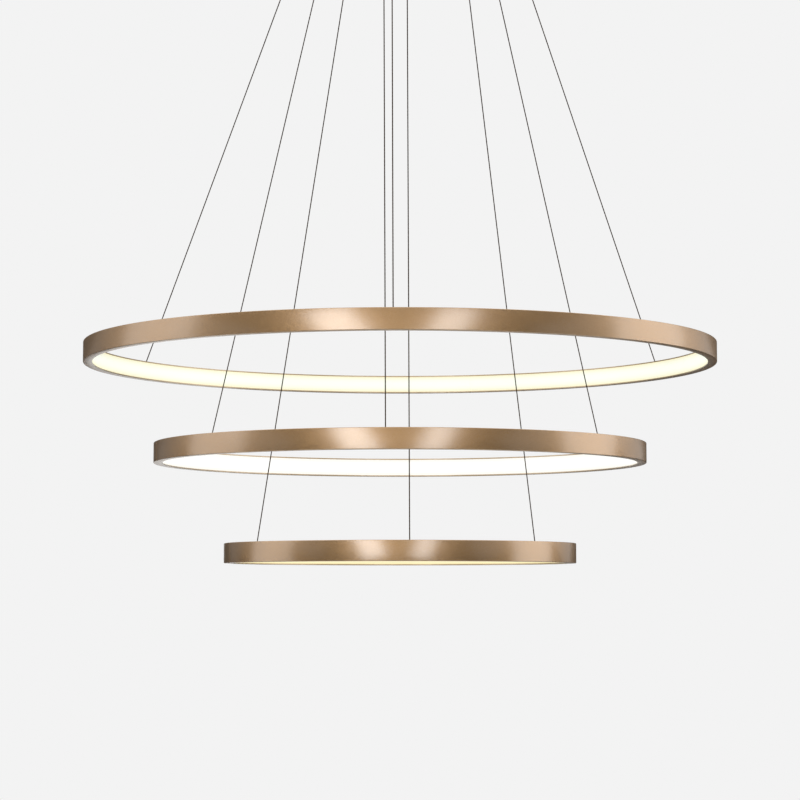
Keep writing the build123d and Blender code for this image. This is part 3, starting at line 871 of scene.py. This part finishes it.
def build_small_studs():
    """Eight threaded studs with weld collars on the canopy's floor, and their nuts."""
    studs, nuts = Shape(), Shape()
    radius, collar, (taper, tip) = small_stud_radius, small_stud_collar, small_stud_tip
    profile = [(radius + collar / 2, 0), (radius, collar)]
    profile += thread(radius, small_thread, collar, small_stud_height - tip)
    profile.append((radius - taper, small_stud_height))
    for spot, lift in small_stud_spots():
        spindle(studs, profile, spot, count=20)
        nut(nuts, spot + up * lift, small_nut, radius, count=36)
    place(studs.mesh("canopy_stud_set"), "canopy", "zinc_steel", zinc_finish, ["canopy_cover"])
    place(nuts.mesh("small_nut_set"), "canopy", "zinc_steel", zinc_finish, ["small_nuts"])


def build_grippers():
    """The nine grippers' turned barrels, threaded studs and nuts."""
    top, foot, rise = canopy_underside, canopy_underside - barrel_length, canopy_underside + gripper_stud_rise
    edge, groove = 0.0002, barrel_groove_depth
    section = [(gripper_stud_radius, top, 0), (barrel_radius, top, edge)]
    for depth in barrel_grooves:
        section += [(barrel_radius - inset, top - depth + lift, 0)
                    for inset, lift in ((0, 2 * edge), (groove, edge), (groove, -edge), (0, -2 * edge))]
    section = rounded(section + [
        (barrel_radius, foot + barrel_chamfer, edge),
        (barrel_radius - barrel_chamfer, foot, edge),
        (barrel_mouth, foot, edge),
        (barrel_mouth, foot + barrel_throat, 0),
        (gripper_stud_radius, foot + barrel_cone, 0),
    ], steps=3)
    seat, root = top - spring_room[0], gripper_stud_radius - gripper_stud_slack
    taper, tip = gripper_stud_tip
    tube = [(gripper_stud_bore, seat), (root, seat), (root, top - edge)]
    tube += thread(gripper_stud_radius, gripper_thread, top, rise - tip)
    tube += [(gripper_stud_radius - taper, rise), (gripper_stud_bore, rise)]
    barrels, studs, nuts = Shape(), Shape(), Shape()
    for ring in rings:
        for side in wire_sides:
            axis = ring.gripper(side, 0.0)
            lathe(barrels, section, segments=64, centre=axis)
            lathe(studs, tube, segments=40, centre=axis)
            nut(nuts, ring.gripper(side, canopy_floor), gripper_nut, gripper_stud_radius)
    place(barrels.mesh("gripper_barrel_set"), "canopy", "gripper_brass", brass_finish, ["gripper_barrels"])
    place(studs.mesh("gripper_stud_set"), "canopy", "zinc_steel", zinc_finish, ["gripper_studs"])
    place(nuts.mesh("gripper_nut_set"), "canopy", "zinc_steel", zinc_finish, ["gripper_nuts"])


def build_drivers():
    """Three driver cases with a lid seam and ears, and the rubber glands of their leads."""
    length, width, height = driver_size
    seam, groove, ease = height - driver_lid, driver_lid_groove, driver_ease
    foot = 0.0005
    case_levels = [
        (foot, 0), (0, foot),
        (0, seam - groove), (groove, seam - groove / 2), (groove, seam + groove / 2), (0, seam + groove),
        (0, height - ease), (ease / 4, height - ease / 3), (ease, height),
        (driver_panel, height), (driver_panel + groove, height - groove),
    ]
    ear_levels = eased(driver_ear_thickness, 0.0003)
    ear_size = (length + 2 * driver_ear_length, driver_ear_width)
    glands = Shape()
    for ring, (seat, along) in zip(rings, driver_seats()):
        outwards = Vector((seat.x, seat.y, 0)).normalized()
        case = panel(Shape(), driver_size, driver_corner, case_levels, seat, along)
        ears = panel(Shape(), ear_size, driver_corner, ear_levels, seat, along)
        holes = Shape()
        for end in (-1, 1):
            spot = seat + along * ((length + driver_ear_length) / 2 * end)
            rod(holes, small_stud_hole, spot - up * height, spot + up * height)
            spindle(glands, outlet_gland, seat + along * (end * length / 2) + up * driver_outlet,
                    along * end)
        spindle(glands, inlet_gland, seat - outwards * (width / 2) + up * driver_inlet, -outwards)
        eared = combine(case.mesh(f"driver_case_{ring.name}"), ears.mesh("ears"), "UNION")
        place(combine(eared, holes.mesh("holes")), "canopy", "driver_case", case_finish, ["led_drivers"])
    place(glands.mesh("driver_gland_set"), "canopy", "lead_insulation", gland_finish, ["led_drivers"])


def build_terminal_block():
    """The terminal block with its wire funnels, and a slotted screw in each pole."""
    width, height = block_size[1:]
    foot_height = block_foot[2]
    seat = Vector((0, 0, canopy_floor))
    edge = 0.0004
    body = panel(Shape(), block_size, 0.0012, eased(height, edge), seat)
    foot = panel(Shape(), block_foot, 0.0025, eased(foot_height, edge), seat)
    holes, slots, screws = Shape(), Shape(), Shape()
    for end in (-1, 1):
        spot = seat + Vector((end * block_stud_spacing / 2, 0, 0))
        rod(holes, small_stud_hole, spot - up * edge, spot + up * (foot_height + edge))
    half_slot, half_width, slot_floor = block_screw_slot
    for pole in block_poles:
        top = seat + Vector((pole, 0, height))
        rod(holes, block_pole_radius, top - up * block_pole_depth, top + up * edge)
        spindle(screws, block_screw, top)
        slab(slots, top - Vector((half_slot, half_width, slot_floor)),
             top + Vector((half_slot, half_width, 0)))
        for end in (-1, 1):
            face = seat + Vector((pole, end * (width / 2 + edge), block_funnel_height))
            spindle(holes, block_funnel, face, (0, -end, 0))
    footed = combine(body.mesh("terminal_block_body"), foot.mesh("foot"), "UNION")
    block = combine(footed, holes.mesh("holes"))
    place(block, "canopy", "block_plastic", block_finish, ["terminal_block"])
    slotted = combine(screws.mesh("terminal_screw_set"), slots.mesh("slots"))
    place(slotted, "canopy", "nickel", nickel_finish, ["terminal_block"])


def build_bracket():
    """The ceiling bar, bent down at both ends, with its slots and holes."""
    face = sqrt((canopy_radius - canopy_wall)**2 - (bracket_width / 2)**2) - bracket_tab_gap
    half, edge = bracket_thickness / 2, 0.0004
    bend = bracket_bend - half
    corners = [(-face + half, -bracket_tab_depth, 0), (-face + half, -half, bend),
               (face - half, -half, bend), (face - half, -bracket_tab_depth, 0)]
    line = rounded(corners, steps=8)
    section = rounded([(half, bracket_width / 2, edge), (-half, bracket_width / 2, edge),
                       (-half, -bracket_width / 2, edge), (half, -bracket_width / 2, edge)], steps=3)
    loops = []
    for index, spot in enumerate(line):
        before, after = line[max(index - 1, 0)], line[min(index + 1, len(line) - 1)]
        ahead = (after - before).normalized()
        loops.append([(spot.x - ahead.y * point.x, point.y, spot.y + ahead.x * point.x)
                      for point in section])
    depth = 2 * bracket_thickness
    holes = Shape()
    for slot_place in slot_places:
        panel(holes, (slot_length, slot_width), slot_width / 2 - 0.00001, [(0, -depth), (0, depth)],
              (slot_place, 0, 0))
    rod(holes, cable_hole_radius, (0, 0, -depth), (0, 0, depth), 64)
    rod(holes, screw_radius, (earth_screw_place, 0, -depth), (earth_screw_place, 0, depth))
    for end in (-1, 1):
        rod(holes, screw_radius, (end * (face - depth), 0, -cover_screw_depth),
            (end * (face + depth), 0, -cover_screw_depth))
    mesh = combine(Shape().skin(loops).mesh("ceiling_bar"), holes.mesh("holes"))
    place(mesh, "canopy", "zinc_steel", zinc_finish, ["ceiling_bracket"])


def build_screws():
    """The two knurled cover screws, and the earth screw with its cross slot."""
    radius, height = cover_screw_head
    half_width, slot_depth = cover_screw_slot
    shank = [(screw_radius - 0.0005, -cover_screw_length)]
    shank += thread(screw_radius, cover_screw_thread, -cover_screw_length + 0.0004, -canopy_wall)
    shank.append((screw_radius - 0.0003, 0))
    head = [(radius - 0.0004, 0), (radius, 0.0004), (radius, height - 0.0006),
            (radius - 0.0006, height), (radius - 0.0012, height)]
    screws, slots = Shape(), Shape()
    for end in (-1, 1):
        seat, along = Vector((end * canopy_radius, 0, -cover_screw_depth)), Vector((end, 0, 0))
        spindle(screws, shank, seat, along)
        spindle(screws, head, seat, along, count=6 * cover_screw_knurls, teeth=cover_screw_knurls)
        low, high = sorted(seat.x + end * reach for reach in (height - slot_depth, height + 0.001))
        slab(slots, (low, -2 * radius, seat.z - half_width), (high, 2 * radius, seat.z + half_width))
    slotted = combine(screws.mesh("cover_screw_set"), slots.mesh("slots"))
    place(slotted, "canopy", "gripper_brass", brass_finish, ["cover_screws"])

    radius, height = earth_screw_head
    seat = Vector((earth_screw_place, 0, -bracket_thickness))
    profile = [(screw_radius, -bracket_thickness + 0.0002), (screw_radius, 0), (radius, 0),
               (radius, height * 0.6), (radius * 0.8, height * 0.9), (radius * 0.4, height)]
    screw = spindle(Shape(), profile, seat, (0, 0, -1)).mesh("earth_screw_body")
    arm = radius * 0.6
    for x, y in ((arm, earth_screw_slot), (earth_screw_slot, arm)):
        slot = slab(Shape(), seat - Vector((x, y, height * 1.1)), seat + Vector((x, y, -height * 0.5)))
        screw = combine(screw, slot.mesh("slot"))
    place(screw, "canopy", "zinc_steel", zinc_finish, ["earth_screw"])


# ------------------------ put the lamp together

for ring in rings:
    build_channel(ring)
    build_diffuser(ring)
    for side in wire_sides:
        build_wire(ring, side)
        build_spring(ring, side)
build_dish()
build_small_studs()
build_grippers()
build_drivers()
build_terminal_block()
build_bracket()
build_screws()

node_finishes = {           # for the CAD nodes that stay, by a part of their names
    "led_strip": strip_finish,
    "joint_keys": zinc_finish,
    "joint_screws": zinc_finish,
    "wire_stops": nickel_finish,
    "strip_leads": lead_finish,
    "collet": nickel_finish,
    "driver_leads": lead_finish,
}
for name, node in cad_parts.items():
    for part_of_name, finish in node_finishes.items():
        if part_of_name in name:
            node.data.materials.clear()
            node.data.materials.append(finish)

# ------------------------ studio

floor_height = -2.2
floor_rows = (0.4, 1.0, 1.6, 2.0, 2.4)
floor_clearness = 0.35      # share of the background that shows through the floor's middle
lamp_height = -0.75
background = 0.896          # linear grey of the photo's background
room_level = 0.045
dome_level = 1.10           # linear grey of the soft light overhead
dome_rise = (0.26, 0.75)    # sines of the elevations between which it comes up
backdrop_reach = 9.0        # degrees to each side of straight behind the lamp
backdrop_edge = 6.0


def build_floor():
    """A pale floor far below the lamp, which fades into the background at its edge."""
    count = 96
    loops = [circle(radius, (0, 0, floor_height), count) for radius in floor_rows]
    shape = Shape().skin(loops, capped=False)
    shape.faces.append(list(range(count)))
    mesh = shape.mesh("studio_floor")
    half = floor_rows[-1] / 2
    measure(mesh, "fade", lambda point: min(1.0, max(floor_clearness, hypot(point.x, point.y) / half - 1.0)))
    finish = Finish("studio_floor", Roughness=0.8)
    tone = finish.ramp(finish.noise(2.0), [(0.3, (0.88, 0.88, 0.88)), (0.7, (0.90, 0.90, 0.90))])
    finish.set(Base_Color=tone)
    clear = finish.node("ShaderNodeBsdfTransparent").outputs[0]
    layers = {0: finish.attribute("fade"), 1: finish.shader.outputs[0], 2: clear}
    mix = finish.node("ShaderNodeMixShader", layers).outputs[0]
    finish.tree.links.new(mix, finish.tree.nodes["Material Output"].inputs["Surface"])
    mesh.materials.append(finish.material)
    piece = add_object("studio_floor", mesh)


def softbox(name, azimuth, distance, width, height, power):
    """An upright soft light that faces the lamp's axis. Azimuth 0 is the front, 90 the right."""
    light = bpy.data.lights.new(name, "AREA")
    light.shape = "RECTANGLE"
    light.size, light.size_y = width, height
    light.energy = power
    lamp = add_object(name, light)
    spot = around(distance, azimuth - 90, lamp_height)
    lamp.location = spot
    lamp.rotation_euler = Vector((-spot.x, -spot.y, 0)).to_track_quat("-Z", "Z").to_euler()
    lamp.visible_camera = False


def build_world():
    """A pale background for the camera, and a dim room with soft light overhead for the lamp."""
    world = bpy.data.worlds.new("studio")
    bpy.context.scene.world = world
    world.use_nodes = True
    tree = world.node_tree

    def add(kind, *inputs, **settings):
        """The first output of a new node with numbers or links on its first inputs."""
        return add_node(tree, kind, dict(enumerate(inputs)), **settings).outputs[0]

    def grey(level):
        return (level, level, level, 1.0)

    plain = tree.nodes["Background"]
    plain.inputs["Color"].default_value = grey(background)
    ray = tree.nodes.new("ShaderNodeTexCoord").outputs["Generated"]
    heading = add_node(tree, "ShaderNodeSeparateXYZ", {0: ray}).outputs
    overhead = add("ShaderNodeMapRange", heading["Z"], *dome_rise, 0.0, 1.0)
    room = add("ShaderNodeMixRGB", overhead, grey(room_level), grey(dome_level))
    edge = [cos(radians(angle)) for angle in (backdrop_reach, backdrop_reach - backdrop_edge)]
    behind = add("ShaderNodeMapRange", heading["Y"], *edge, 0.0, 1.0)
    path = tree.nodes.new("ShaderNodeLightPath").outputs
    shiny = add("ShaderNodeMath", path["Is Glossy Ray"], path["Is Transmission Ray"], operation="MAXIMUM")
    reflected = add("ShaderNodeMath", shiny, behind, operation="MULTIPLY")
    shown = add("ShaderNodeMath", path["Is Camera Ray"], reflected, operation="MAXIMUM")
    mix = add("ShaderNodeMixShader", shown, add("ShaderNodeBackground", room), plain.outputs[0])
    tree.links.new(mix, tree.nodes["World Output"].inputs["Surface"])


build_floor()
build_world()
for row in (                # name, azimuth, distance, width, height and power
    ("key_left", -19.0, 2.6, 0.66, 1.25, 10.4),
    ("key_right", 15.5, 2.6, 0.52, 1.25, 6.9),
    ("slope_left", -63.0, 2.2, 0.6, 1.4, 0.7),
    ("slope_right", 61.0, 2.2, 0.75, 1.4, 1.0),
    ("side_left", -86.5, 2.2, 2.25, 1.4, 9.6),
    ("side_right", 91.0, 2.2, 2.15, 1.4, 12.8),
    ("fill_left", -122.0, 2.2, 0.7, 1.4, 0.5),
    ("fill_right", 125.0, 2.2, 0.8, 1.4, 1.6),
    ("back_left", -164.0, 2.6, 0.40, 1.4, 1.3),
):
    softbox(*row)

# ------------------------ camera

camera_place = (0.0, -3.1907, -1.1436)
camera_tilt = 0.0853        # upwards, in radians
camera_lens = 100.70        # on a sensor 36 mm wide, for a square image

camera_data = bpy.data.cameras.new("camera")
camera_data.lens = camera_lens
camera = add_object("camera", camera_data)
camera.location = camera_place
camera.rotation_euler = (pi / 2 + camera_tilt, 0.0, 0.0)
bpy.context.scene.camera = camera
bpy.context.scene.view_settings.view_transform = "Standard"
